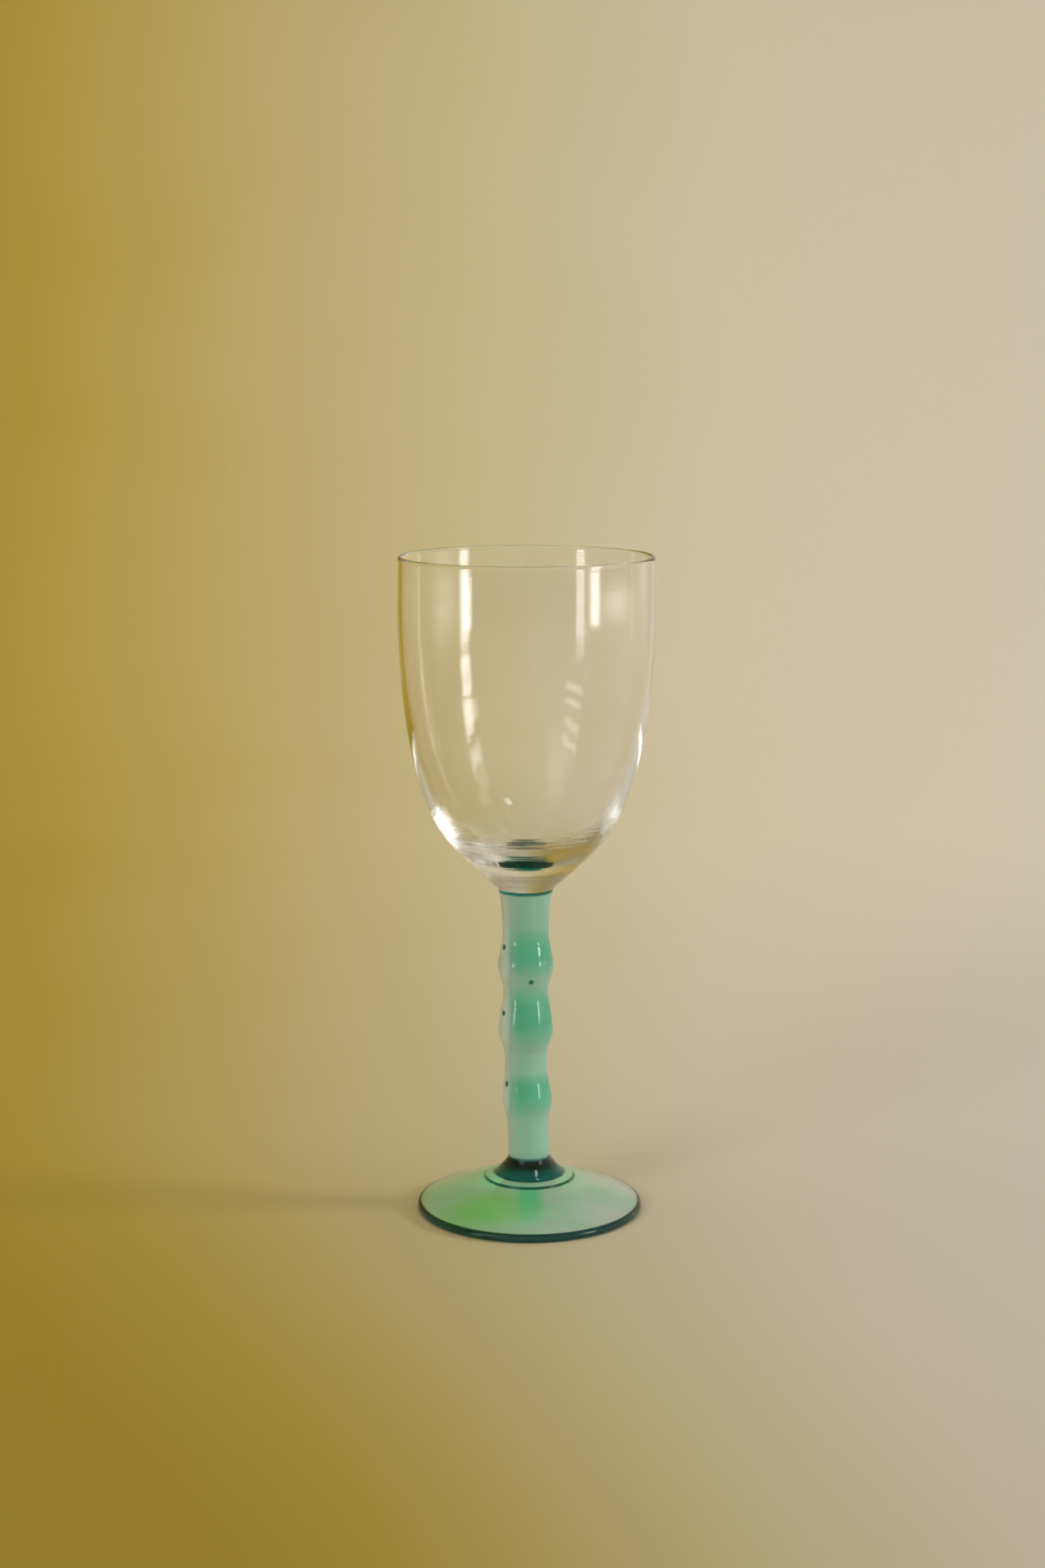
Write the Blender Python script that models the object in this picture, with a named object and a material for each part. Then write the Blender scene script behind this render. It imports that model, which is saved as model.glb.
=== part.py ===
"""A stemmed wine glass, hot-joined from three pieces of glass.

The pieces are a clear blown bowl with a heavy base, a solid sea-green stem with three knops
and a thin domed sea-green foot. Z is up, the glass stands on z = 0 and its axis is Z.
Lengths are in metres. Each piece is an outline in the XZ plane, listed from its upper centre
over its outer side down to its lower centre, and spun once round the axis.
"""
import math
from collections import namedtuple

import bmesh
import bpy

# Driving dimensions of the whole glass
GLASS_HEIGHT = 0.2000
RIM_RADIUS = 0.0380
FOOT_RADIUS = 0.0343
BOWL_JOINT_Z = 0.1000
BOWL_JOINT_RADIUS = 0.00835
FOOT_JOINT_Z = 0.0112
FOOT_JOINT_RADIUS = 0.0107
JOINT_GAP = 0.0003
SEGMENTS = 48

# Bowl: a nearly straight wall, a hip, and a solid base that tapers to the stem.
# A bend is a place that a wall's curve passes. Its lean is the wall's angle from the vertical,
# positive where the wall opens upwards. The pulls are how far the curve holds to that lean
# above and below the bend.
Bend = namedtuple("Bend", "radius z lean pull_up pull_down")
RIM_THICKNESS = 0.0011
RIM_CENTRE_Z = GLASS_HEIGHT - RIM_THICKNESS / 2
RIM_LEAN = math.radians(-1.7)
OUTER_RIM = Bend(RIM_RADIUS, RIM_CENTRE_Z, RIM_LEAN, 0.0, 0.035)
HIP = Bend(0.0278, 0.1214, math.radians(24.8), 0.0196, 0.008)
BASE_END = Bend(BOWL_JOINT_RADIUS, BOWL_JOINT_Z + JOINT_GAP / 2, math.radians(49.5), 0.0078, 0.0)
CAVITY_RIM = Bend(RIM_RADIUS - RIM_THICKNESS, RIM_CENTRE_Z, RIM_LEAN, 0.0, 0.035)
CAVITY_HIP = Bend(0.0262, 0.1258, math.radians(27.0), 0.019, 0.008)
CAVITY_FLOOR = Bend(0.0, 0.1103, math.radians(90.0), 0.0145, 0.0)
WALL_STEPS = 10
BASE_STEPS = 8
RIM_STEPS = 6

# Stem: a flared top, plain necks between three knops, and a spread lower end.
# A knop widens in a straight taper from its shoulder to its crest, then falls away softly.
Knop = namedtuple("Knop", "shoulder_z shoulder_radius crest_z crest_radius tail_z tail_radius")
KNOPS = (
    Knop(0.0842, 0.00715, 0.0763, 0.00845, 0.0682, 0.00680),
    Knop(0.0674, 0.00685, 0.0560, 0.00830, 0.0485, 0.00650),
    Knop(0.0408, 0.00670, 0.0344, 0.00760, 0.0272, 0.00635),
)
FLARE_END_Z = 0.0905
FLARE_END_RADIUS = 0.00720
SPREAD_START_Z = 0.0164
SPREAD_START_RADIUS = 0.00635
FLARE_POWER = 2.0
SPREAD_POWER = 1.3
FLARE_STEPS = 5
TAPER_STEPS = 5
FALL_STEPS = 6
CREST_ROUNDING = 8

# Foot: a low boss under the stem, a gentle dome and a rounded edge on a flat resting ring
BOSS_RADIUS = 0.0134
BOSS_Z = 0.0104
BOSS_STEP_RUN = 0.0003
DOME_START_Z = 0.0099
DOME_POWER = 1.15
EDGE_THICKNESS = 0.00265
RING_INNER_RADIUS = 0.0319
HOLLOW_HEIGHT = 0.0030
DOME_STEPS = 7
EDGE_STEPS = 6
HOLLOW_STEPS = 5

# Finishes: base colour, roughness and how much light passes through
Finish = namedtuple("Finish", "name colour roughness transmission")
CLEAR_GLASS = Finish("clear_glass", (0.93, 0.95, 0.93, 1.0), 0.02, 1.0)
STEM_GLASS = Finish("stem_glass", (0.16, 0.52, 0.38, 1.0), 0.03, 0.9)
FOOT_GLASS = Finish("foot_glass", (0.16, 0.50, 0.35, 1.0), 0.03, 0.9)
REFRACTIVE_INDEX = 1.5
SHARP_EDGE = math.radians(32.0)
MERGE_DISTANCE = 1e-6


def clear_scene():
    """Remove every object that the new file came with."""
    for old in list(bpy.data.objects):
        bpy.data.objects.remove(old, do_unlink=True)


def wall_curve(upper, lower, steps):
    """Points down a cubic curve from one bend to the next."""
    corners = (
        (upper.radius, upper.z),
        (
            upper.radius - math.sin(upper.lean) * upper.pull_down,
            upper.z - math.cos(upper.lean) * upper.pull_down,
        ),
        (
            lower.radius + math.sin(lower.lean) * lower.pull_up,
            lower.z + math.cos(lower.lean) * lower.pull_up,
        ),
        (lower.radius, lower.z),
    )
    points = []
    for step in range(steps + 1):
        t = step / steps
        weights = ((1 - t) ** 3, 3 * t * (1 - t) ** 2, 3 * t * t * (1 - t), t**3)
        points.append(tuple(sum(w * c[i] for w, c in zip(weights, corners)) for i in (0, 1)))
    return points


def power_run(start, end, power, steps):
    """Points from start to end whose radius follows a power of the height travelled."""
    points = []
    for step in range(steps + 1):
        t = step / steps
        radius = start[0] + (end[0] - start[0]) * t**power
        points.append((radius, start[1] + (end[1] - start[1]) * t))
    return points


def bowl_outline():
    """Cavity floor, cavity wall, rounded rim, outer wall and solid base."""
    cavity = wall_curve(CAVITY_RIM, CAVITY_HIP, WALL_STEPS)
    cavity += wall_curve(CAVITY_HIP, CAVITY_FLOOR, BASE_STEPS)[1:]
    points = cavity[::-1]
    rim_round = RIM_THICKNESS / 2
    for step in range(1, RIM_STEPS):
        turn = math.pi * (1 - step / RIM_STEPS)
        radius = RIM_RADIUS - rim_round + rim_round * math.cos(turn)
        points.append((radius, RIM_CENTRE_Z + rim_round * math.sin(turn)))
    points += wall_curve(OUTER_RIM, HIP, WALL_STEPS)
    points += wall_curve(HIP, BASE_END, BASE_STEPS)[1:]
    return points + [(0.0, BASE_END.z)]


def knop_points(knop):
    """A straight taper that rounds over at the crest, then a half cosine wave down."""
    points = []
    rise = knop.crest_radius - knop.shoulder_radius
    fall = knop.crest_radius - knop.tail_radius
    for step in range(TAPER_STEPS):
        t = step / TAPER_STEPS
        swell = (CREST_ROUNDING * t - t**CREST_ROUNDING) / (CREST_ROUNDING - 1)
        height = knop.shoulder_z + (knop.crest_z - knop.shoulder_z) * t
        points.append((knop.shoulder_radius + rise * swell, height))
    for step in range(FALL_STEPS + 1):
        t = step / FALL_STEPS
        swell = (1 + math.cos(math.pi * t)) / 2
        height = knop.crest_z + (knop.tail_z - knop.crest_z) * t
        points.append((knop.tail_radius + fall * swell, height))
    return points


def stem_outline():
    """Flared top, three knops joined by straight necks, and the spread lower end."""
    top = BOWL_JOINT_Z - JOINT_GAP / 2
    bottom = FOOT_JOINT_Z + JOINT_GAP / 2
    spread = power_run(
        (SPREAD_START_RADIUS, SPREAD_START_Z),
        (FOOT_JOINT_RADIUS, bottom),
        SPREAD_POWER,
        FLARE_STEPS,
    )
    flare = power_run(
        (FLARE_END_RADIUS, FLARE_END_Z), (BOWL_JOINT_RADIUS, top), FLARE_POWER, FLARE_STEPS
    )
    points = [(0.0, top)] + flare[::-1]
    for knop in KNOPS:
        points += knop_points(knop)
    return points + spread + [(0.0, bottom)]


def foot_outline():
    """Joint face, low boss, dome, rounded edge, flat resting ring and shallow hollow."""
    edge_round = EDGE_THICKNESS / 2
    joint_z = FOOT_JOINT_Z - JOINT_GAP / 2
    dome_start = BOSS_RADIUS + BOSS_STEP_RUN
    dome_end = FOOT_RADIUS - edge_round
    points = [(0.0, joint_z), (FOOT_JOINT_RADIUS, joint_z), (BOSS_RADIUS, BOSS_Z)]
    for step in range(DOME_STEPS):
        t = step / DOME_STEPS
        height = DOME_START_Z + (EDGE_THICKNESS - DOME_START_Z) * t**DOME_POWER
        points.append((dome_start + (dome_end - dome_start) * t, height))
    for step in range(EDGE_STEPS + 1):
        turn = math.pi / 2 - math.pi * step / EDGE_STEPS
        radius = dome_end + edge_round * math.cos(turn)
        points.append((radius, edge_round * (1 + math.sin(turn))))
    for step in range(HOLLOW_STEPS + 1):
        share = 1 - step / HOLLOW_STEPS
        points.append((RING_INNER_RADIUS * share, HOLLOW_HEIGHT * (1 - share**2)))
    return points


def glass_material(finish):
    """One Principled glass for a finish."""
    material = bpy.data.materials.new(finish.name)
    material.use_nodes = True
    shader = material.node_tree.nodes["Principled BSDF"]
    shader.inputs["Base Color"].default_value = finish.colour
    shader.inputs["Metallic"].default_value = 0.0
    shader.inputs["Roughness"].default_value = finish.roughness
    shader.inputs["IOR"].default_value = REFRACTIVE_INDEX
    shader.inputs["Transmission Weight"].default_value = finish.transmission
    material.diffuse_color = finish.colour
    return material


def turned_piece(name, outline, material):
    """Spin an outline round Z into one closed body, smooth except at its edges."""
    shape = bmesh.new()
    corners = [shape.verts.new((radius, 0.0, height)) for radius, height in outline]
    edges = [shape.edges.new(pair) for pair in zip(corners[:-1], corners[1:])]
    bmesh.ops.spin(
        shape,
        geom=corners + edges,
        cent=(0.0, 0.0, 0.0),
        axis=(0.0, 0.0, 1.0),
        angle=math.tau,
        steps=SEGMENTS,
        use_merge=True,
    )
    bmesh.ops.remove_doubles(shape, verts=shape.verts, dist=MERGE_DISTANCE)
    bmesh.ops.recalc_face_normals(shape, faces=shape.faces)
    mesh = bpy.data.meshes.new(name)
    shape.to_mesh(mesh)
    shape.free()
    mesh.shade_smooth()
    mesh.set_sharp_from_angle(angle=SHARP_EDGE)
    mesh.materials.append(material)
    piece = bpy.data.objects.new(name, mesh)
    bpy.context.scene.collection.objects.link(piece)
    return piece


def build_glass():
    """The three pieces, under one empty that stands for the whole glass."""
    clear_scene()
    pieces = [
        turned_piece("bowl", bowl_outline(), glass_material(CLEAR_GLASS)),
        turned_piece("stem", stem_outline(), glass_material(STEM_GLASS)),
        turned_piece("foot", foot_outline(), glass_material(FOOT_GLASS)),
    ]
    wine_glass = bpy.data.objects.new("wine_glass", None)
    bpy.context.scene.collection.objects.link(wine_glass)
    for piece in pieces:
        piece.parent = wine_glass


build_glass()
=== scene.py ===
"""A stemmed wine glass: a clear blown bowl hot-joined to a sea-green stem and foot.

Each CAD solid is a faceted outline turned round Z. The glass pieces here follow the same
outlines, smoothed and turned finely, and meet face to face so that light passes the hot
joints as it passes through one lump of glass. Lengths are in metres.
"""
import math
from collections import namedtuple

import bpy
import numpy as np
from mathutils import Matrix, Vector


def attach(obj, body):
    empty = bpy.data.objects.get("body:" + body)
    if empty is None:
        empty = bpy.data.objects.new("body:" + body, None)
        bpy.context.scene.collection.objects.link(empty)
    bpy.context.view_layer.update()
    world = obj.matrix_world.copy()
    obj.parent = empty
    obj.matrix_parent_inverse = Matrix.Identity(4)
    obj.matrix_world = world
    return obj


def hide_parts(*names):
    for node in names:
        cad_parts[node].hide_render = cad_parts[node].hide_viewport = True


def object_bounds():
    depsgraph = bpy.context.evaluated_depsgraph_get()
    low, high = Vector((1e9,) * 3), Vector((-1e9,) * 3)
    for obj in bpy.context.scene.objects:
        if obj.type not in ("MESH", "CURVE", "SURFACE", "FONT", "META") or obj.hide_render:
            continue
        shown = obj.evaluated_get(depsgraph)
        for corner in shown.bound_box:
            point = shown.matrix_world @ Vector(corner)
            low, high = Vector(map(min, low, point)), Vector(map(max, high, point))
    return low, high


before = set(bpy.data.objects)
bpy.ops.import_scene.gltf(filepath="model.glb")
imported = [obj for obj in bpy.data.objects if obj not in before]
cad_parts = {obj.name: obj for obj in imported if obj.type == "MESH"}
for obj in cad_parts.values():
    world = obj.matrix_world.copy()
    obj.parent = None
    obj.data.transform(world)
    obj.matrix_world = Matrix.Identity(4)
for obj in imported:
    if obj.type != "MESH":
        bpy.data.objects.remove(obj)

cad_low, cad_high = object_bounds()


def clamp(value):
    """The value held between 0 and 1."""
    return min(max(value, 0.0), 1.0)


def ease(value):
    """0 to 1 as the value runs from 0 to 1, softly at both ends."""
    t = clamp(value)
    return t * t * (3 - 2 * t)


# ---------------------------------------------------------------- outlines

RIM_THICKNESS = 0.0011
RIM_CENTRE_Z = cad_high[2] - RIM_THICKNESS / 2
SHARP_TURN = math.radians(35)
FINE_TURN = math.radians(4)
SAME_HEIGHT = 1e-5
MIRRORED_POINTS = 3
# How near to the axis or a plane a point counts as on it, and how far the glass stays inside
# the CAD solid's greatest radius and height
TOUCHING = 1e-6
SLIGHT = 1e-6


def cad_outline(node):
    """The CAD solid's outline at +X: (radius, z) points from its upper end down to its lower end.

    Flat joint faces aren't part of it; an end on the axis is a face that closes in a dome.
    """
    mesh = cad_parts[node].data
    place = {}
    for vertex in mesh.vertices:
        x, y, z = vertex.co
        if abs(y) < TOUCHING and x > -TOUCHING:
            place[vertex.index] = (round(x, 6) + 0.0, round(z, 6))
    beside = {}
    for edge in mesh.edges:
        a, b = edge.vertices
        if a in place and b in place and place[a] != place[b]:
            beside.setdefault(place[a], set()).add(place[b])
            beside.setdefault(place[b], set()).add(place[a])
    ends = sorted((p for p in beside if len(beside[p]) == 1), key=lambda p: -p[1])
    line = [ends[0]]
    while True:
        ahead = [p for p in beside[line[-1]] if len(line) < 2 or p != line[-2]]
        if not ahead:
            break
        line.append(ahead[0])
    return np.array(line)


def spline(points, spacing, flat_start=False, flat_end=False):
    """Points along a smooth curve through the given ones, with even curvature across them.

    An end that is flat lies on the axis, and the curve runs on to its mirror image there.
    """
    if len(points) < 3:
        return points
    lead = points[1 : 1 + MIRRORED_POINTS][::-1] * (-1, 1) if flat_start else points[:0]
    tail = points[-1 - MIRRORED_POINTS : -1][::-1] * (-1, 1) if flat_end else points[:0]
    knots = np.vstack([lead, points, tail])
    steps = np.hypot(*np.diff(knots, axis=0).T)
    count = len(knots)
    system = np.eye(count)
    right = np.zeros((count, 2))
    for i in range(1, count - 1):
        before, after = steps[i - 1], steps[i]
        system[i, i - 1 : i + 2] = before, 2 * (before + after), after
        slopes = (knots[i + 1] - knots[i]) / after - (knots[i] - knots[i - 1]) / before
        right[i] = 6 * slopes
    bend = np.linalg.solve(system, right)
    headings = np.unwrap(np.arctan2(*np.diff(knots, axis=0).T))
    bends = np.abs(np.concatenate([[0.0], np.diff(headings), [0.0]]))
    bends = np.maximum(bends[:-1], bends[1:])
    out = []
    first, last = len(lead), count - 1 - len(tail)
    for i in range(first, last):
        span = steps[i]
        pieces = max(1, math.ceil(span / spacing), math.ceil(bends[i] / FINE_TURN))
        for k in range(pieces):
            a = k / pieces
            b = 1 - a
            curve = (b**3 - b) * bend[i] + (a**3 - a) * bend[i + 1]
            out.append(b * knots[i] + a * knots[i + 1] + curve * span * span / 6)
    out.append(knots[last])
    return np.array(out)


def corners_of(line):
    """Indices of the outline's points that a smooth stretch ends at.

    They are where it turns sharply, meets the rounded rim, or meets the flat resting ring.
    """
    found = []
    for i in range(1, len(line) - 1):
        a, b = line[i] - line[i - 1], line[i + 1] - line[i]
        turn = abs(math.atan2(a[0] * b[1] - a[1] * b[0], a @ b))
        at_rim = abs(line[i][1] - RIM_CENTRE_Z) < SAME_HEIGHT
        at_ring = abs(line[i][1] - cad_low[2]) < SAME_HEIGHT
        if turn > SHARP_TURN or at_rim or at_ring:
            found.append(i)
    return found


def fine_outline(node, spacing):
    """The CAD outline in smooth stretches between its corners, nowhere wider or higher than it."""
    line = cad_outline(node)
    cuts = [0, *corners_of(line), len(line) - 1]
    out = []
    for a, b in zip(cuts[:-1], cuts[1:]):
        stretch = line[a : b + 1]
        part = spline(stretch, spacing, stretch[0][0] < TOUCHING, stretch[-1][0] < TOUCHING)
        out.append(part if not out else part[1:])
    return np.clip(np.vstack(out), line.min(axis=0), line.max(axis=0) - SLIGHT)


# ---------------------------------------------------------------- glass bodies

# The joints' (radius, z), and how far the stem's end faces sink into the glass they meet
BOWL_JOINT = (0.00835, 0.1000)
FOOT_JOINT = (0.0107, 0.0112)
JOINT_SINK = 0.00005
JOINT_RINGS = 6
BOWL_SPACING, STEM_SPACING, FOOT_SPACING = 0.0008, 0.0006, 0.0008
TURNS = 192
SHARP_EDGE = math.radians(32)

# The hand-joined axis stands a little aside of Z, by these amounts at the foot and the stem
FOOT_ASIDE = 0.0009
STEM_ASIDE = -0.0002
SWAY_START_Z, SWAY_RUN = 0.0112, 0.040
BOWL_START_Z, BOWL_RUN = 0.100, 0.060


def lean(z):
    """How far the axis stands aside at a height."""
    sway = ease((z - SWAY_START_Z) / SWAY_RUN)
    rise = clamp((z - BOWL_START_Z) / BOWL_RUN)
    return FOOT_ASIDE * (1 - sway) + STEM_ASIDE * sway * (1 - rise)


def glass_body(name, rings, weld, material, node):
    """Turn (radius, z) rings into one closed body; weld says which bands are joint faces."""
    verts, faces, flags, index = [], [], [], []
    for radius, z in rings:
        if radius < TOUCHING:
            index.append([len(verts)])
            verts.append((lean(z), 0.0, z))
            continue
        index.append(list(range(len(verts), len(verts) + TURNS)))
        for k in range(TURNS):
            a = math.tau * k / TURNS
            verts.append((radius * math.cos(a) + lean(z), radius * math.sin(a), z))
    for i, (upper, lower) in enumerate(zip(index[:-1], index[1:])):
        if len(upper) == 1 and len(lower) == 1:
            continue
        for k in range(TURNS):
            m = (k + 1) % TURNS
            if len(upper) == 1:
                face = (upper[0], lower[k], lower[m])
            elif len(lower) == 1:
                face = (upper[k], lower[0], upper[m])
            else:
                face = (upper[k], lower[k], lower[m], upper[m])
            faces.append(face)
            flags.append(weld[i])
    mesh = bpy.data.meshes.new(name)
    mesh.from_pydata(verts, [], faces)
    mesh.update()
    mesh.shade_smooth()
    joint = mesh.attributes.new("joint_face", "FLOAT", "FACE")
    joint.data.foreach_set("value", np.array(flags, dtype=np.float32))
    mesh.set_sharp_from_angle(angle=SHARP_EDGE)
    mesh.materials.append(material)
    body = bpy.data.objects.new(name, mesh)
    bpy.context.scene.collection.objects.link(body)
    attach(body, "root")
    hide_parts(node)


def joint_disc(radius, z, outward):
    """Rings across a flat joint face, from its centre outward or the other way."""
    share = np.linspace(0, 1, JOINT_RINGS + 1)
    if not outward:
        share = share[::-1]
    return np.array([(radius * s, z) for s in share])


def build_bodies(bowl_material, stem_material, foot_material):
    """The bowl, the stem and the foot, each with its joint faces marked."""
    bowl_line = fine_outline("bowl", BOWL_SPACING)
    stem_line = fine_outline("stem", STEM_SPACING)
    foot_line = fine_outline("foot", FOOT_SPACING)
    bowl_line[-1] = BOWL_JOINT
    stem_line[0] = BOWL_JOINT
    stem_line[-1] = FOOT_JOINT
    foot_line[0] = FOOT_JOINT

    cap = joint_disc(*BOWL_JOINT, outward=False)
    rings = np.vstack([bowl_line, cap[1:]])
    weld = [0.0] * (len(bowl_line) - 1) + [1.0] * (len(cap) - 1)
    glass_body("bowl_glass", rings, weld, bowl_material, "bowl")

    top = joint_disc(BOWL_JOINT[0] - JOINT_SINK, BOWL_JOINT[1] + JOINT_SINK, outward=True)
    bottom = joint_disc(FOOT_JOINT[0] - JOINT_SINK, FOOT_JOINT[1] - JOINT_SINK, outward=False)
    rings = np.vstack([top, stem_line, bottom])
    weld = [1.0] * len(top) + [0.0] * (len(stem_line) - 1) + [1.0] * len(bottom)
    glass_body("stem_glass", rings, weld, stem_material, "stem")

    cap = joint_disc(*FOOT_JOINT, outward=True)
    rings = np.vstack([cap[:-1], foot_line])
    weld = [1.0] * (len(cap) - 1) + [0.0] * (len(foot_line) - 1)
    glass_body("foot_glass", rings, weld, foot_material, "foot")


# ---------------------------------------------------------------- node trees

# The Mix node's sockets for two colours and its result
MIX_LOW, MIX_HIGH, MIX_RESULT = 6, 7, 2

# Soft noise: its scale, its stretch as less scale on an axis, and its detail
Grain = namedtuple("Grain", "scale stretch detail", defaults=((1, 1, 1), 2.0))


class Tree:
    """A material's or world's nodes, added and joined in one call each."""

    def __init__(self, owner):
        owner.use_nodes = True
        self.nodes = owner.node_tree.nodes
        self.links = owner.node_tree.links

    def add(self, kind, settings=(), **sockets):
        """A new node. Each socket is given a value, or another node's output to link."""
        node = self.nodes.new("ShaderNode" + kind)
        for name, value in dict(settings).items():
            setattr(node, name, value)
        for name, value in sockets.items():
            key = int(name[1:]) if name[0] == "i" and name[1:].isdigit() else name.replace("_", " ")
            if isinstance(value, bpy.types.NodeSocket):
                self.links.new(value, node.inputs[key])
            else:
                node.inputs[key].default_value = value
        return node

    def place(self, kind="Object"):
        """The object's own coordinates, or another kind of them."""
        return self.add("TexCoord").outputs[kind]

    def axes(self, vector):
        """A vector's X, Y and Z."""
        return self.add("SeparateXYZ", Vector=vector).outputs

    def maths(self, operation, *values):
        """A Math node's result."""
        sockets = {f"i{i}": value for i, value in enumerate(values)}
        return self.add("Math", {"operation": operation}, **sockets).outputs[0]

    def vector(self, operation, *values, **sockets):
        """A Vector Math node's outputs: Vector, and Value for a length or a distance."""
        sockets.update({f"i{i}": value for i, value in enumerate(values)})
        return self.add("VectorMath", {"operation": operation}, **sockets).outputs

    def span(self, value, low, high, to_low=0.0, to_high=1.0, smooth=True):
        """A value mapped from one range onto another, and held at its ends."""
        kind = {"interpolation_type": "SMOOTHSTEP" if smooth else "LINEAR"}
        ranges = {"From_Min": low, "From_Max": high, "To_Min": to_low, "To_Max": to_high}
        return self.add("MapRange", kind, Value=value, **ranges).outputs["Result"]

    def noise(self, place, grain):
        """Soft noise of a grain over a place."""
        mapped = self.add("Mapping", Vector=place, Scale=grain.stretch).outputs[0]
        soft = self.add("TexNoise", Vector=mapped, Scale=grain.scale, Detail=grain.detail)
        return soft.outputs["Fac"]

    def blend(self, share, low, high):
        """One colour at a share of 0, and another at 1."""
        mixed = self.add("Mix", {"data_type": "RGBA"}, Factor=share)
        for colour, socket in ((low, mixed.inputs[MIX_LOW]), (high, mixed.inputs[MIX_HIGH])):
            if isinstance(colour, bpy.types.NodeSocket):
                self.links.new(colour, socket)
            else:
                socket.default_value = (*colour, 1)
        return mixed.outputs[MIX_RESULT]

    def ramp(self, value, stops):
        """A colour ramp over (position, colour) stops."""
        node = self.add("ValToRGB", Fac=value)
        elements = node.color_ramp.elements
        elements[0].position, elements[0].color = stops[0][0], (*stops[0][1], 1)
        elements[1].position, elements[1].color = stops[-1][0], (*stops[-1][1], 1)
        for position, colour in stops[1:-1]:
            elements.new(position).color = (*colour, 1)
        return node.outputs["Color"]


# ---------------------------------------------------------------- glass

GLASS_INDEX, JOINT_INDEX = 1.5, 1.0

# What glass takes out of light: per metre, its density times 1 less each part of its colour
Absorb = namedtuple("Absorb", "colour density")

# Milky glass: how far light spreads in it, in red, green and blue, as shares of a reach
SPREAD_SHARES, SPREAD_REACH = (0.6, 1.0, 0.9), 0.004

# Smears make the polish uneven, and ripples and long waves bend the surface
SMEARS, SMEAR_RANGE = Grain(60.0, (1, 1, 0.5)), (0.35, 0.75)
RIPPLES = Grain(40.0, (0.3, 0.3, 22.0), 3.0)
WAVES = Grain(60.0, (1.0, 1.0, 0.25), 1.0)

# Ripples are deep below the first height, and only a share of that above the second
RIPPLE_RANGE, WALL_RIPPLE_SHARE = (0.112, 0.122), 0.03

# The tint of the joint faces where two gathers met, which darkens light crossing them
JOINT_TINT = (0.0, 0.20, 0.24)


def glass(name, absorb, paint=None, ripple=0.0, wave=0.0, polish=(0.0, 0.02), mirror=0.5):
    """Glass with a faintly rippled surface. paint(tree, place) gives its milkiness and its tint.

    Joint faces have no refraction and no milkiness, so that light goes straight on, and the
    tint of a joint. ripple and wave are heights, polish is the range of roughness, and mirror
    is the specular level.
    """
    mat = bpy.data.materials.new(name)
    tree = Tree(mat)
    shader = tree.nodes["Principled BSDF"]
    place = tree.place()
    joint = tree.add("Attribute", {"attribute_name": "joint_face"}).outputs["Fac"]
    index = tree.span(joint, 0.0, 1.0, GLASS_INDEX, JOINT_INDEX, smooth=False)
    tree.links.new(index, shader.inputs["IOR"])
    shader.inputs["Base Color"].default_value = (1, 1, 1, 1)
    shader.inputs["Transmission Weight"].default_value = 1.0
    shader.inputs["Specular IOR Level"].default_value = mirror
    if paint:
        milkiness, tint = paint(tree, place)
        outside = tree.maths("SUBTRACT", 1.0, joint)
        clear = tree.maths("SUBTRACT", 1.0, tree.maths("MULTIPLY", milkiness, outside))
        tree.links.new(clear, shader.inputs["Transmission Weight"])
        tree.links.new(tree.blend(joint, tint, JOINT_TINT), shader.inputs["Base Color"])
        shader.inputs["Subsurface Weight"].default_value = 1.0
        shader.inputs["Subsurface Radius"].default_value = SPREAD_SHARES
        shader.inputs["Subsurface Scale"].default_value = SPREAD_REACH
    roughness = tree.span(tree.noise(place, SMEARS), *SMEAR_RANGE, *polish)
    tree.links.new(roughness, shader.inputs["Roughness"])
    height = tree.axes(place)["Z"]
    depth = tree.span(height, *RIPPLE_RANGE, ripple, ripple * WALL_RIPPLE_SHARE)
    long_waves = tree.maths("MULTIPLY", tree.noise(place, WAVES), wave)
    relief = tree.maths("MULTIPLY_ADD", tree.noise(place, RIPPLES), depth, long_waves)
    bump = tree.add("Bump", Height=relief, Distance=1.0, Strength=1.0)
    tree.links.new(bump.outputs[0], shader.inputs["Normal"])
    volume = tree.add("VolumeAbsorption", Color=(*absorb.colour, 1), Density=absorb.density)
    tree.links.new(volume.outputs[0], tree.nodes["Material Output"].inputs["Volume"])
    return mat


# The stem's milkiness and tint by height: milky pale necks, clearer green tapers on the knops,
# and clear teal where it meets the bowl and the foot. Down the flare to the foot the teal is dark,
# painted shade for looking a long way through the green glass there.
NECK, KNOP = (0.56, 1.0, 0.82), (0.26, 0.96, 0.68)
SKIRT_SHADE, END = (0.0, 0.62, 0.60), (0.0, 0.70, 0.76)
STEM_LOOK = (
    (0.0114, 0.16, SKIRT_SHADE), (0.0132, 0.10, SKIRT_SHADE), (0.0142, 0.00, END), (0.0162, 0.00, END),
    (0.0172, 0.60, NECK), (0.0300, 0.60, NECK), (0.0365, 0.48, KNOP), (0.0400, 0.44, KNOP),
    (0.0440, 0.58, NECK), (0.0520, 0.58, NECK), (0.0590, 0.44, KNOP), (0.0650, 0.42, KNOP),
    (0.0710, 0.58, NECK), (0.0740, 0.56, NECK), (0.0790, 0.44, KNOP), (0.0830, 0.44, KNOP),
    (0.0890, 0.54, NECK), (0.0988, 0.62, NECK), (0.0993, 0.10, END),
)
STEM_TOP = 0.1

# A paler, milkier, cloudy side on -X, from one x to another and between two shares of the stem's
# top height: painted light for the light from +X that the stem focuses onto that side
STEM_LIT_SIDE, STEM_LIT_MILK = (0.78, 1.0, 0.96), 0.82
STEM_LIT_X = (-0.0018, -0.0068)
STEM_LIT_BOTTOM, STEM_LIT_TOP = (0.166, 0.175), (0.993, 0.987)
STEM_LIT_CLOUDS, CLOUD_RANGE = Grain(90.0), (0.2, 0.6, 0.75, 1.0)
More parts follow.
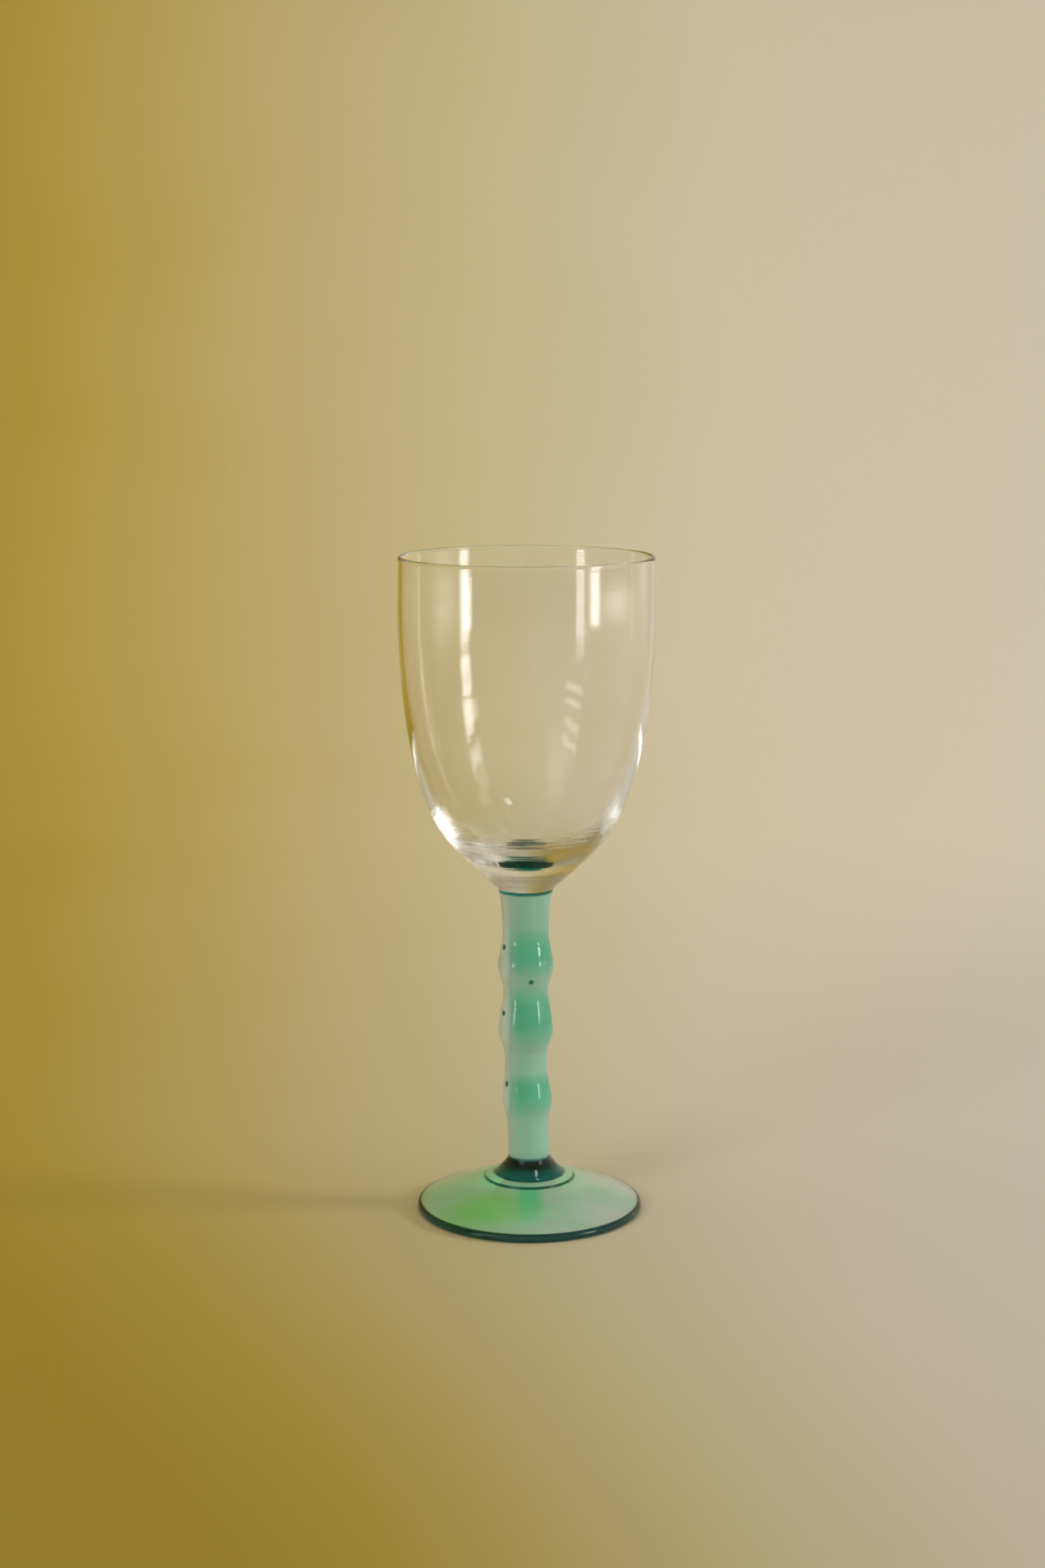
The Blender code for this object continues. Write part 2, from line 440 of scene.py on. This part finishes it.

# Small dark spots where the knops begin, painted shade for the dark refractions of the knops' sharp
# onsets, each fading in over these distances
KNOP_SHADE_SPOTS = (
    (-0.0066, -0.0035, 0.0824), (-0.0067, -0.0035, 0.0620), (-0.0060, -0.0033, 0.0398),
    (0.0013, -0.0071, 0.0727),
)
SPOT_SHADE, SPOT_SHADE_RANGE = (0.0, 0.22, 0.24), (0.0012, 0.0006)


def stem_paint(tree, place):
    """Milky necks and green knops by height, with a side of painted light and four spots of painted
    shade.
    """
    axes = tree.axes(place)
    share = tree.maths("DIVIDE", axes["Z"], STEM_TOP)
    # Milkiness and tint by height; the dark teal down the flare to the foot is painted shade
    milk = tree.ramp(share, [(z / STEM_TOP, (m, m, m)) for z, m, _ in STEM_LOOK])
    tint = tree.ramp(share, [(z / STEM_TOP, c) for z, _, c in STEM_LOOK])
    between = tree.maths("MULTIPLY", tree.span(share, *STEM_LIT_BOTTOM), tree.span(share, *STEM_LIT_TOP))
    # Painted light: the -X side paler and milkier, where light from +X is focused through the stem
    lit_side = tree.maths("MULTIPLY", tree.span(axes["X"], *STEM_LIT_X), between)
    clouds = tree.span(tree.noise(place, STEM_LIT_CLOUDS), *CLOUD_RANGE)
    lit_side = tree.maths("MULTIPLY", lit_side, clouds)
    milk = tree.maths("MAXIMUM", milk, tree.maths("MULTIPLY", lit_side, STEM_LIT_MILK))
    tint = tree.blend(lit_side, tint, STEM_LIT_SIDE)
    # Painted shade: four dark spots where the knops begin
    for spot in KNOP_SHADE_SPOTS:
        away = tree.vector("DISTANCE", place, spot)["Value"]
        tint = tree.blend(tree.span(away, *SPOT_SHADE_RANGE), tint, SPOT_SHADE)
    return milk, tint


# The foot's milkiness, more within its inner radii, and its tint from -X to +X. The tint paling
# towards +X is painted light from +X that the foot mirrors; the greener tint within the inner radii
# is painted light filling the shade under the stem, and soft swirls add green at random
FOOT_MILK, INNER_MILK = 0.46, 0.54
INNER_RANGE = (0.020, 0.014)
FOOT_LEFT, FOOT_LIT_SIDE = (0.58, 1.0, 0.66), (0.86, 1.0, 0.88)
FOOT_LIT_RANGE = (-0.022, 0.030)
FOOT_INNER, INNER_SHARE = (0.36, 1.0, 0.52), 0.5
SWIRLS, SWIRL_RANGE = Grain(55.0, (0.6, 1.6, 1.0), 3.0), (0.42, 0.66, 0.0, 0.4)

# Painted shade in dark teal rings by radius: the collar and the edge, where the glass is seen a
# long way through, and the crease by distance from its middle, where the step mirrors the dark stem
# end
COLLAR_RANGE = (0.0112, 0.0107)
CREASE_RADIUS, CREASE_RANGE = 0.0136, (0.0005, 0.0002)
EDGE_RANGE = (0.0329, 0.0335)
FOOT_RING_SHADE, FOOT_EDGE_SHADE = (0.0, 0.40, 0.46), (0.0, 0.10, 0.18)

# A deep green patch at the front left, painted light for the green and ochre light that the foot
# refracts there, that fades in by distance as shares of its size
REFRACTED_GREEN, REFRACTED_FADE = (0.40, 1.0, 0.31), (1.1, 0.1)
REFRACTED_CENTRE, REFRACTED_SIZE = (-0.0135, -0.0205, 0.0), (0.020, 0.012)

# A green streak in front of the stem, a painted reflection of the stem in the foot, that fades in
# from both sides and both ends
STEM_REFLECTION, REFLECTION_SIDES = (0.10, 1.0, 0.42), (0.0056, 0.00112, 0.0, 0.70)
REFLECTION_BACK, REFLECTION_FRONT = (-0.012, -0.015), (-0.033, -0.018)


def foot_paint(tree, place):
    """Pale and faintly milky on its upper face, with painted light and a painted reflection in its
    tint, and painted shade in deep teal at its collar, crease and edge.
    """
    flat = tree.vector("MULTIPLY", place, (1, 1, 0))["Vector"]
    aside = tree.vector("SUBTRACT", flat, (FOOT_ASIDE, 0, 0))["Vector"]
    radius = tree.vector("LENGTH", aside)["Value"]
    off_crease = tree.maths("ABSOLUTE", tree.maths("SUBTRACT", radius, CREASE_RADIUS))
    collar, crease = tree.span(radius, *COLLAR_RANGE), tree.span(off_crease, *CREASE_RANGE)
    rings = tree.maths("MAXIMUM", collar, crease)
    edge = tree.span(radius, *EDGE_RANGE)
    inner = tree.span(radius, *INNER_RANGE)
    upper = tree.maths("GREATER_THAN", tree.axes(tree.place("Normal"))["Z"], 0.0)
    dark = tree.maths("MAXIMUM", rings, edge)
    milk = tree.maths("MULTIPLY_ADD", inner, INNER_MILK - FOOT_MILK, FOOT_MILK)
    milk = tree.maths("MULTIPLY", tree.maths("SUBTRACT", upper, dark), milk)
    milk = tree.maths("MAXIMUM", milk, 0.0)

    # Painted light: the tint grows paler towards +X, where light from +X is mirrored
    tint = tree.blend(tree.span(tree.axes(place)["X"], *FOOT_LIT_RANGE), FOOT_LEFT, FOOT_LIT_SIDE)
    swirl = tree.span(tree.noise(place, SWIRLS), *SWIRL_RANGE)
    # Painted light: greener within the inner radii, filling the shade under the stem
    greener = tree.maths("MAXIMUM", tree.maths("MULTIPLY", inner, INNER_SHARE), swirl)
    tint = tree.blend(greener, tint, FOOT_INNER)
    # Painted light: a deep green patch at the front left, where the foot refracts coloured light
    off_refracted = tree.vector("SUBTRACT", aside, REFRACTED_CENTRE)["Vector"]
    shrink = (1 / REFRACTED_SIZE[0], 1 / REFRACTED_SIZE[1], 0)
    off_refracted = tree.vector("MULTIPLY", off_refracted, shrink)["Vector"]
    away = tree.vector("LENGTH", off_refracted)["Value"]
    tint = tree.blend(tree.span(away, *REFRACTED_FADE), tint, REFRACTED_GREEN)
    # Painted reflection: a green streak of the stem mirrored in the foot, in front of it
    sides = tree.axes(aside)
    reflection = tree.span(tree.maths("ABSOLUTE", sides["X"]), *REFLECTION_SIDES)
    reflection = tree.maths("MULTIPLY", reflection, tree.span(sides["Y"], *REFLECTION_BACK))
    reflection = tree.maths("MULTIPLY", reflection, tree.span(sides["Y"], *REFLECTION_FRONT))
    tint = tree.blend(reflection, tint, STEM_REFLECTION)
    # Painted shade: dark teal at the collar, the crease and the edge
    tint = tree.blend(edge, tree.blend(rings, tint, FOOT_RING_SHADE), FOOT_EDGE_SHADE)
    return milk, tint


clear_glass = glass("clear_glass_fine", Absorb((0.4, 0.8, 0.6), 1.0), ripple=0.0002, wave=0.00001)
stem_glass = glass(
    "stem_glass_fine", Absorb((0.0, 0.70, 0.74), 160.0), stem_paint,
    ripple=0.000003, wave=0.00001, polish=(0.0, 0.04),
)
foot_glass = glass(
    "foot_glass_fine", Absorb((0.0, 0.90, 0.88), 45.0), foot_paint, wave=0.00002, mirror=0.45,
)
build_bodies(clear_glass, stem_glass, foot_glass)

# ---------------------------------------------------------------- floor and wall

FLOOR_RADIUS = 0.60
CURVE_RADIUS = 1.30
WALL_HEIGHT = 1.2
WALL_MIDDLE = 122.5
WALL_HALF_ANGLE = 75.0
WALL_FADE = 25.0
WALL_LEAST_SHARE = 0.1
FLAT_REACH = 2.5
SWEEP_SIDES, FLOOR_STEPS, CURVE_STEPS, WALL_STEPS = 180, 4, 39, 6

# Colours across the paper, at x over a depth that is 0.2 (0.8 + y) and at least 0.08, moved
# along the paper near its front and by soft blotches. They run from ochre on the left to pale
# beige on the right, painted light for the light from the right falling on the paper
PAPER_TONE_AND_LIGHT = (
    (-1.30, (0.50, 0.36, 0.05)), (-0.93, (0.56, 0.42, 0.08)), (-0.60, (0.65, 0.53, 0.20)),
    (-0.30, (0.72, 0.63, 0.36)), (0.00, (0.78, 0.72, 0.52)), (0.35, (0.83, 0.80, 0.68)),
    (1.00, (0.82, 0.82, 0.75)),
)
PAPER_LOW, PAPER_HIGH = -1.5, 1.5
DEPTH_SLOPE, DEPTH_START, DEPTH_LEAST = 0.20, 0.16, 0.08
FRONT_RANGE, FRONT_MOVE = (0.10, -0.32), -0.75
BLOTCHES, BLOTCH_MOVE = Grain(3.0), 0.25
# Painted shade: the paper darkens from its back towards its front
SHADE_RANGE = (0.60, -0.35, 1.0, 0.66)
PAPER_GRAIN, PAPER_ROUGHNESS, PAPER_MIRROR = Grain(900.0), (0.3, 0.7, 0.82, 0.95), 0.2


def paper():
    """Matt paper, pale beige that warms to ochre on its left and near its front; the left-to-right
    change is painted light, and painted shade darkens it towards its front.
    """
    mat = bpy.data.materials.new("warm_paper")
    tree = Tree(mat)
    shader = tree.nodes["Principled BSDF"]
    place = tree.place()
    axes = tree.axes(place)
    depth = tree.maths("MULTIPLY_ADD", axes["Y"], DEPTH_SLOPE, DEPTH_START)
    across = tree.maths("DIVIDE", axes["X"], tree.maths("MAXIMUM", depth, DEPTH_LEAST))
    near = tree.span(axes["Y"], *FRONT_RANGE)
    across = tree.maths("MULTIPLY_ADD", near, FRONT_MOVE, across)
    blotch = tree.maths("SUBTRACT", tree.noise(place, BLOTCHES), 0.5)
    across = tree.maths("MULTIPLY_ADD", blotch, BLOTCH_MOVE, across)
    share = tree.span(across, PAPER_LOW, PAPER_HIGH, smooth=False)
    stops = [((x - PAPER_LOW) / (PAPER_HIGH - PAPER_LOW), c) for x, c in PAPER_TONE_AND_LIGHT]
    # Painted light: ochre on the left to pale beige on the right, for light from the right
    colour = tree.ramp(share, stops)
    # Painted shade: darker towards the front
    shade = tree.span(axes["Y"], *SHADE_RANGE, smooth=False)
    shaded = tree.vector("SCALE", colour, Scale=shade)["Vector"]
    tree.links.new(shaded, shader.inputs["Base Color"])
    roughness = tree.span(tree.noise(place, PAPER_GRAIN), *PAPER_ROUGHNESS)
    tree.links.new(roughness, shader.inputs["Roughness"])
    shader.inputs["Specular IOR Level"].default_value = PAPER_MIRROR
    return mat


def wall_share(degrees):
    """1 where the sheet rises into a wall, easing to 0 where it stays flat."""
    off = abs((degrees - WALL_MIDDLE + 180) % 360 - 180)
    return 1 - ease((off - WALL_HALF_ANGLE) / WALL_FADE)


def sweep():
    """Floor and wall in one sheet: flat round the glass, curving up at the back and the left."""
    radii = [*np.linspace(0.0, FLOOR_RADIUS, FLOOR_STEPS + 1)[1:]]
    radii += [*np.linspace(FLOOR_RADIUS, FLOOR_RADIUS + CURVE_RADIUS, CURVE_STEPS + 1)[1:]]
    levels = []
    for r in radii:
        d = max(0.0, r - FLOOR_RADIUS)
        levels.append((r, CURVE_RADIUS - math.sqrt(max(0.0, CURVE_RADIUS**2 - d * d))))
    for k in range(1, WALL_STEPS + 1):
        levels.append((radii[-1], CURVE_RADIUS + WALL_HEIGHT * k / WALL_STEPS))
    verts, faces = [(0.0, 0.0, 0.0)], []
    for r, h in levels:
        for k in range(SWEEP_SIDES):
            degrees = 360.0 * k / SWEEP_SIDES
            share = wall_share(degrees)
            reach = r + (1 - share) * max(0.0, r - FLOOR_RADIUS) * FLAT_REACH
            a = math.radians(degrees)
            verts.append((reach * math.cos(a), reach * math.sin(a), h * share))
    for k in range(SWEEP_SIDES):
        faces.append((0, 1 + k, 1 + (k + 1) % SWEEP_SIDES))
    for i in range(len(levels) - 1):
        in_wall = i >= len(radii) - 1
        for k in range(SWEEP_SIDES):
            if in_wall and wall_share(360.0 * k / SWEEP_SIDES) < WALL_LEAST_SHARE:
                continue
            m = (k + 1) % SWEEP_SIDES
            a, b = 1 + i * SWEEP_SIDES, 1 + (i + 1) * SWEEP_SIDES
            faces.append((a + k, b + k, b + m, a + m))
    mesh = bpy.data.meshes.new("sweep")
    mesh.from_pydata(verts, [], faces)
    mesh.shade_smooth()
    mesh.materials.append(paper())
    sheet = bpy.data.objects.new("sweep", mesh)
    bpy.context.scene.collection.objects.link(sheet)


sweep()

# ---------------------------------------------------------------- light

LIGHT_HEIGHT = 0.16
FLOOR_CLEARANCE = 0.003
SLAT_RANGE = (-0.7, 0.1, 0.35, 1.0)
CLOTH, CLOTH_RANGE = Grain(3.0, (0.6, 1, 2.5)), (0.35, 0.6, 0.45, 1.0)


def glow(name, azimuth, wide, low, high, radiance, soft, distance=1.2, colour=(1, 1, 1), slats=0):
    """A soft-edged sheet of light that only the glass mirrors and bends.

    azimuth is its middle, turned from the camera's side towards +X, and wide its angle across;
    low and high are its elevations, all in degrees as seen from the glass. soft is how much of
    its half width and half height fades out. slats is how many slats of a blind break it.
    """
    half = distance * math.tan(math.radians(wide / 2))
    z_low = max(FLOOR_CLEARANCE, LIGHT_HEIGHT + distance * math.tan(math.radians(low)))
    z_high = LIGHT_HEIGHT + distance * math.tan(math.radians(high))
    tall = (z_high - z_low) / 2
    mesh = bpy.data.meshes.new(name)
    mesh.from_pydata([(-1, 0, -1), (1, 0, -1), (1, 0, 1), (-1, 0, 1)], [], [(0, 1, 2, 3)])
    mat = bpy.data.materials.new(name)
    tree = Tree(mat)
    place = tree.place()
    axes = tree.axes(place)
    strength = radiance
    for axis, fade in zip("XZ", soft):
        off = tree.maths("ABSOLUTE", axes[axis])
        strength = tree.maths("MULTIPLY", tree.span(off, 1.0, 1.0 - fade), strength)
    if slats:
        wave = tree.maths("COSINE", tree.maths("MULTIPLY", axes["Z"], math.pi * slats))
        strength = tree.maths("MULTIPLY", tree.span(wave, *SLAT_RANGE), strength)
        cloth = tree.span(tree.noise(place, CLOTH), *CLOTH_RANGE)
        strength = tree.maths("MULTIPLY", cloth, strength)
    emit = tree.add("Emission", Color=(*colour, 1), Strength=strength).outputs[0]
    veil = tree.add("AddShader", i0=emit, i1=tree.add("BsdfTransparent").outputs[0]).outputs[0]
    tree.links.new(veil, tree.nodes["Material Output"].inputs["Surface"])
    mesh.materials.append(mat)
    sheet = bpy.data.objects.new(name, mesh)
    a = math.radians(azimuth)
    sheet.location = (math.sin(a) * distance, -math.cos(a) * distance, z_low + tall)
    sheet.rotation_euler = (0.0, 0.0, a)
    sheet.scale = (half, 1.0, tall)
    bpy.context.scene.collection.objects.link(sheet)
    sheet.visible_camera = False
    sheet.visible_diffuse = False


glow("window_right_low", 62, 15, -6.9, 0.0, 7.0, (0.8, 0.3))
glow("window_right_middle", 63, 17, 0.4, 6.4, 11.0, (0.8, 0.3))
glow("window_right_high", 61, 24, 7.0, 13.5, 6.0, (0.8, 0.5))
glow("window_left_low", -53, 11, -8, -0.5, 8.5, (0.5, 0.3), slats=11)
glow("window_left_middle", -50, 22, 5.5, 7.6, 3.5, (0.3, 0.6))
glow("window_left_high", -50, 22, 8.6, 10.8, 3.5, (0.3, 0.6))
glow("curtain", 84, 44, -9, -1, 1.4, (0.9, 0.9), distance=1.3)
glow("bright_side", 125, 44, -6, 10, 0.5, (0.8, 0.8), distance=1.4, colour=(0.95, 1.0, 0.95))
glow("window_left_tall", -42, 34, 13, 42, 1.1, (0.5, 0.7))
glow("window_right_tall", 67, 26, 14, 42, 1.7, (0.5, 0.7))
glow("skylight", 48, 20, 58, 70, 6.0, (0.5, 0.5))


def lamp(name, place, aim, wide, long, power, colour):
    """A soft box that lights the paper and the milky glass, but isn't mirrored by the glass."""
    light = bpy.data.lights.new(name, "AREA")
    light.shape = "RECTANGLE"
    light.size, light.size_y = wide, long
    light.energy = power
    light.color = colour
    box = bpy.data.objects.new(name, light)
    box.location = place
    box.rotation_euler = (Vector(place) - Vector(aim)).to_track_quat("Z", "Y").to_euler()
    bpy.context.scene.collection.objects.link(box)
    box.visible_camera = False
    box.visible_glossy = False
    box.visible_transmission = False


lamp("overhead", (-0.1, 0.1, 1.6), (0.0, 0.0, 0.0), 1.6, 1.6, 7.6, (1.0, 0.95, 0.88))
lamp("key", (2.40, -0.18, 0.96), (0.0, 0.0, 0.04), 0.60, 0.40, 24.0, (1.0, 0.97, 0.92))
lamp("front", (-0.9, -1.1, 0.7), (0.0, 0.0, 0.06), 0.60, 0.60, 6.0, (1.0, 0.98, 0.94))

# The room's colours from the horizon up, by the sine of the elevation
ROOM_COLOURS = (
    (0.00, (0.36, 0.33, 0.25)), (0.14, (0.60, 0.55, 0.44)), (0.30, (0.66, 0.61, 0.49)),
    (0.55, (0.42, 0.37, 0.27)), (0.85, (0.26, 0.22, 0.15)),
)


def room():
    """Dim warm light from all round, palest a little above the horizon."""
    world = bpy.data.worlds.new("room")
    tree = Tree(world)
    colour = tree.ramp(tree.axes(tree.place("Generated"))["Z"], ROOM_COLOURS)
    tree.links.new(colour, tree.nodes["Background"].inputs["Color"])
    tree.nodes["Background"].inputs["Strength"].default_value = 1.0
    bpy.context.scene.world = world


room()

# ---------------------------------------------------------------- camera and view

CAMERA_DISTANCE = 0.7788
CAMERA_HEIGHT = 0.2666
CAMERA_ASIDE = -0.0012
CAMERA_PITCH = math.radians(9.83)
FOCAL_LENGTH = 60.7
SENSOR_SIDE = 36.0

# Light is guided a long way inside the wall and the foot before it comes out
GLASS_BOUNCES, PAPER_BOUNCES = 160, 4


def photo_camera():
    """A camera at the photograph's distance, height and pitch."""
    lens = bpy.data.cameras.new("camera")
    lens.lens = FOCAL_LENGTH
    lens.sensor_width = SENSOR_SIDE
    lens.sensor_fit = "AUTO"
    camera = bpy.data.objects.new("camera", lens)
    camera.location = (CAMERA_ASIDE, -CAMERA_DISTANCE, CAMERA_HEIGHT)
    camera.rotation_euler = (math.pi / 2 - CAMERA_PITCH, 0.0, 0.0)
    bpy.context.scene.collection.objects.link(camera)
    bpy.context.scene.camera = camera


photo_camera()

scene = bpy.context.scene
scene.view_settings.view_transform = "Standard"
scene.view_settings.look = "None"
scene.cycles.max_bounces = GLASS_BOUNCES
scene.cycles.transmission_bounces = GLASS_BOUNCES
scene.cycles.glossy_bounces = GLASS_BOUNCES
scene.cycles.diffuse_bounces = PAPER_BOUNCES
